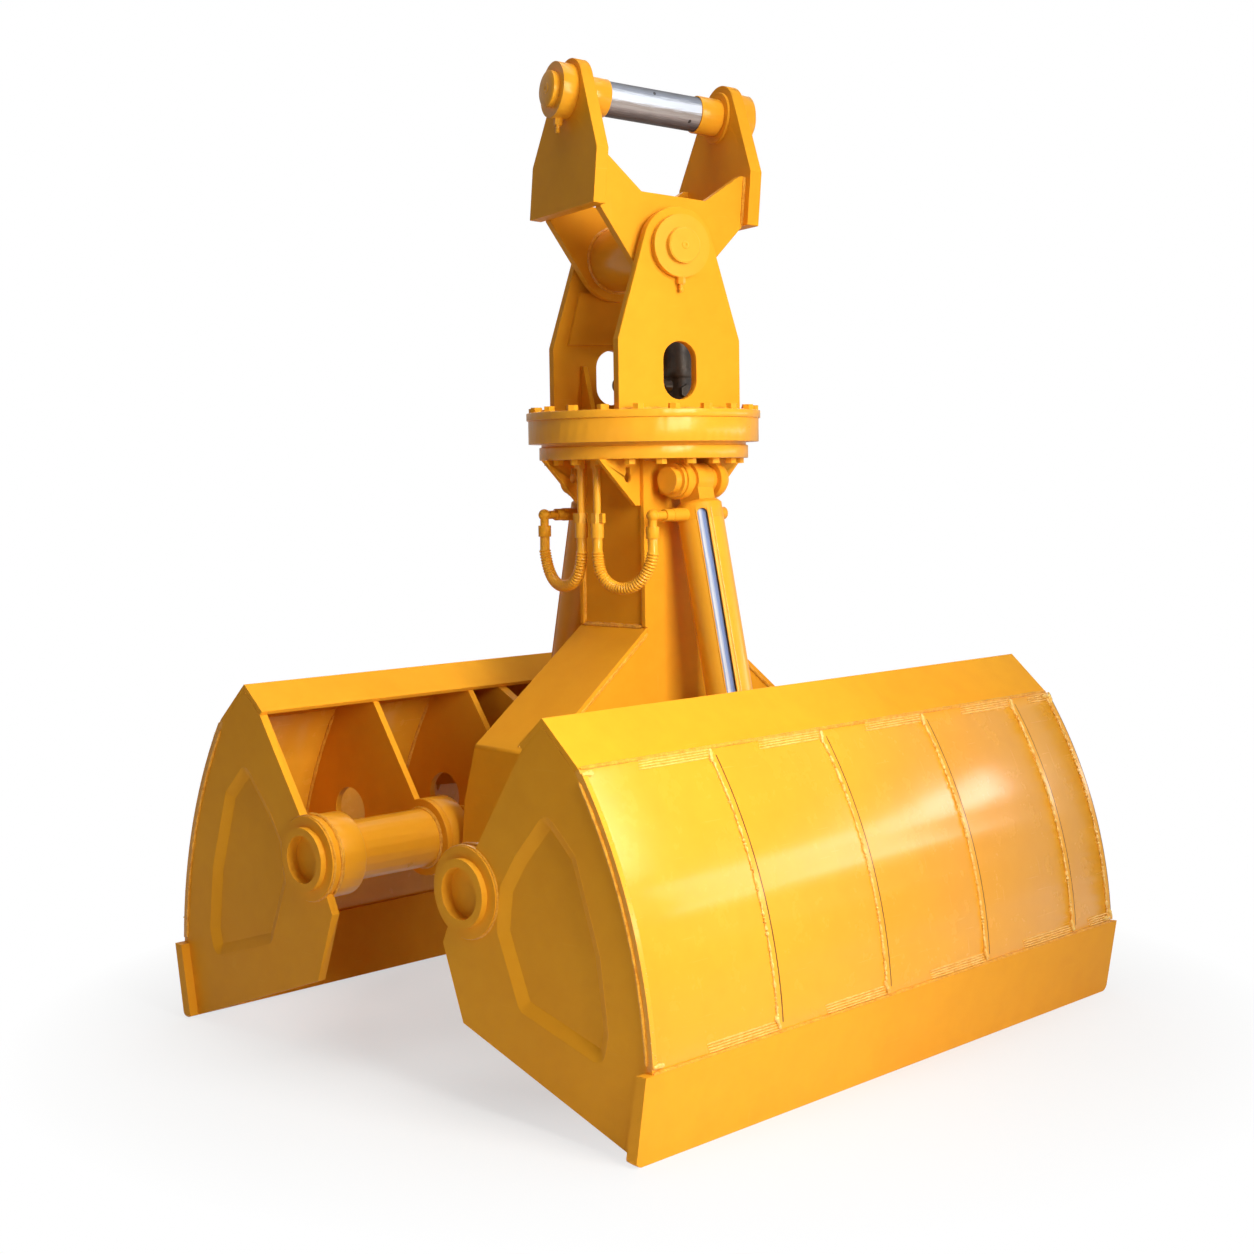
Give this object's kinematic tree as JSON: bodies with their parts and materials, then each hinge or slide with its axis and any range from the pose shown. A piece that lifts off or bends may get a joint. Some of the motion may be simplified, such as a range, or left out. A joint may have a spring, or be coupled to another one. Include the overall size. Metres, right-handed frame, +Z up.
{
  "type": "clamshell grab bucket",
  "caption": "Hydraulic clamshell grab bucket with twin hinged shells, closing cylinders, a rotator and a swinging link for a stick pin.",
  "frame": {"origin": "centre of the footprint, on the floor that the two open cutting edges stand on", "axes": "+Z up, +X the way the right shell opens, Y along the shell hinges"},
  "size_m": [1.55, 1.644, 2.2138],
  "materials": {
    "paint": "glossy golden orange paint",
    "bright": "polished hard chrome",
    "swivel": "dark oiled casting",
    "hose": "painted ribbed hose"
  },
  "bodies": {
    "frame": {"lower_flange": "paint", "slew_inner_ring": "paint", "lower_bolts": "paint", "column_plates": "paint", "column_covers": "paint", "leg_covers": "paint", "hinge_plates": "paint", "hinge_bosses": "paint", "flange_gussets": "paint", "cylinder_lugs": "paint", "cylinder_pins": "paint", "oil_pipes": "paint", "hose_right": "hose", "hose_left": "hose"},
    "head": {"head_lug_near": "paint", "head_lug_far": "paint", "cross_pin": "paint", "cross_collars": "paint", "top_flange": "paint", "slew_outer_ring": "paint", "flange_bolts": "paint", "rotary_swivel": "swivel"},
    "link": {"link_ear_left": "paint", "link_ear_right": "paint", "link_web_near": "paint", "link_web_far": "paint", "link_tube": "paint", "stick_pin": "bright", "stick_collars": "paint", "stick_sleeves": "paint"},
    "shell_right": {"shell_back_right": "paint", "shell_end_front_right": "paint", "shell_end_rear_right": "paint", "shell_ribs_right": "paint", "shell_beam_right": "paint", "shell_lip_right": "paint", "hinge_tubes_right": "paint", "shell_pins_right": "paint", "shell_seams_right": "paint"},
    "barrel_right": {"cyl_head_right": "paint", "cyl_guard_right": "paint", "cyl_tube_right": "bright", "cyl_gland_right": "paint"},
    "rod_right": {"cyl_rod_right": "bright", "rod_pin_core_right": "bright"},
    "shell_left": {"shell_back_left": "paint", "shell_end_front_left": "paint", "shell_end_rear_left": "paint", "shell_ribs_left": "paint", "shell_beam_left": "paint", "shell_lip_left": "paint", "hinge_tubes_left": "paint", "shell_pins_left": "paint", "shell_seams_left": "paint"},
    "barrel_left": {"cyl_head_left": "paint", "cyl_guard_left": "paint", "cyl_tube_left": "bright", "cyl_gland_left": "paint"},
    "rod_left": {"cyl_rod_left": "bright", "rod_pin_core_left": "bright"}
  },
  "joints": [
    {"name": "shell_hinge_right", "type": "hinge", "parent": "frame", "child": "shell_right", "pos_m": [0.262, 0, 0.44325], "axis": [0, 1, 0], "range_deg": [0, 71]},
    {"name": "shell_hinge_left", "type": "hinge", "parent": "frame", "child": "shell_left", "pos_m": [-0.262, 0, 0.44325], "axis": [0, -1, 0], "range_deg": [0, 71]},
    {"name": "barrel_swing_right", "type": "hinge", "parent": "frame", "child": "barrel_right", "pos_m": [0.16, 0, 1.25524], "axis": [0, -1, 0], "range_deg": [0, 7.5], "deforming": ["hose_right"]},
    {"name": "rod_slide_right", "type": "slide", "parent": "barrel_right", "child": "rod_right", "axis": [0.2042, 0, -0.9789], "range_m": [0, 0.178]},
    {"name": "barrel_swing_left", "type": "hinge", "parent": "frame", "child": "barrel_left", "pos_m": [-0.16, 0, 1.25524], "axis": [0, 1, 0], "range_deg": [0, 7.5], "deforming": ["hose_left"]},
    {"name": "rod_slide_left", "type": "slide", "parent": "barrel_left", "child": "rod_left", "axis": [-0.2042, 0, -0.9789], "range_m": [0, 0.178]},
    {"name": "rotator", "type": "hinge", "parent": "frame", "child": "head", "pos_m": [0, 0, 1.34224], "axis": [0, 0, 1], "continuous": true},
    {"name": "link_swing", "type": "hinge", "parent": "head", "child": "link", "pos_m": [0, 0, 1.77885], "axis": [0.9483, -0.3173, 0], "range_deg": [-30, 30]}
  ],
  "couplings": [
    {"joint": "shell_hinge_left", "follows": "shell_hinge_right", "ratio": 1},
    {"joint": "barrel_swing_right", "follows": "shell_hinge_right", "ratio": 0.1047},
    {"joint": "rod_slide_right", "follows": "shell_hinge_right", "m_per_rad": 0.14362},
    {"joint": "barrel_swing_left", "follows": "shell_hinge_right", "ratio": 0.1047},
    {"joint": "rod_slide_left", "follows": "shell_hinge_right", "m_per_rad": 0.14362}
  ]
}
